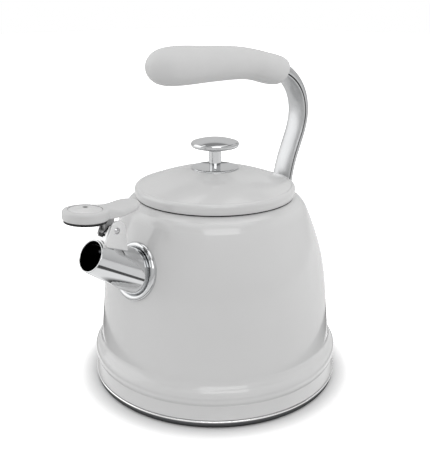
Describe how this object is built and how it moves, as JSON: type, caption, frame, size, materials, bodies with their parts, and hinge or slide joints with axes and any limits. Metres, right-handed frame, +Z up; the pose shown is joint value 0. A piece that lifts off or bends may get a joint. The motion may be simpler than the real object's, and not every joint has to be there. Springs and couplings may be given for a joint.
{
  "type": "stovetop whistling kettle",
  "caption": "Round stovetop kettle with a lift-off lid, a short spout closed by a hinged whistle cap, and a cantilevered grip over the lid on one curved strap.",
  "frame": {"origin": "centre of the base's underside, on the surface that the kettle stands on", "axes": "+Z up, -X towards the spout, +X towards the handle's arm; the kettle is symmetric about the XZ plane"},
  "size_m": [0.274, 0.22, 0.2893],
  "materials": {
    "enamel": "glossy white vitreous enamel on steel sheet",
    "plain_steel": "plain stainless steel, as drawn",
    "base_steel": "spun stainless steel with a polished edge",
    "aluminium_core": "as rolled",
    "chrome": "mirror-polished stainless steel",
    "satin_steel": "satin stainless steel",
    "pin_steel": "bright stainless steel",
    "strap_steel": "satin stainless steel with polished edges",
    "black_spring": "black spring steel",
    "black_rubber": "black silicone rubber",
    "lever_plastic": "moulded light grey plastic, satin",
    "grip_soft_touch": "light grey soft-touch moulding",
    "core_nylon": "glass-filled nylon"
  },
  "bodies": {
    "kettle": {"body_shell": "enamel", "floor_pan": "plain_steel", "base_core": "aluminium_core", "base_cap": "base_steel", "spout_tube": "chrome", "spout_ring": "chrome", "spout_backing_ring": "plain_steel", "whistle_bracket": "satin_steel", "lever_pin": "pin_steel", "click_spring": "black_spring", "spring_clip": "black_rubber", "handle_strap": "strap_steel", "handle_grip": "grip_soft_touch", "grip_core": "core_nylon", "grip_pins": "pin_steel", "handle_backing_plate": "plain_steel", "screw_seals": "black_rubber", "handle_screws": "pin_steel"},
    "lid": {"lid_shell": "enamel", "lid_liner": "plain_steel", "lid_seal": "black_rubber", "knob_dish": "chrome", "knob_collar": "chrome", "lid_knob": "chrome", "knob_washer": "pin_steel", "knob_screw": "pin_steel"},
    "lever": {"whistle_lever": "lever_plastic", "cap_seal": "black_rubber", "whistle_insert": "satin_steel", "whistle_cup": "plain_steel"}
  },
  "joints": [
    {"name": "lid_lift", "type": "slide", "parent": "kettle", "child": "lid", "axis": [0, 0, 1], "range_m": [0, 0.038]},
    {"name": "whistle_lever", "type": "hinge", "parent": "kettle", "child": "lever", "pos_m": [-0.11291, 0, 0.15839], "axis": [0, 1, 0], "range_deg": [-64, 0]}
  ]
}
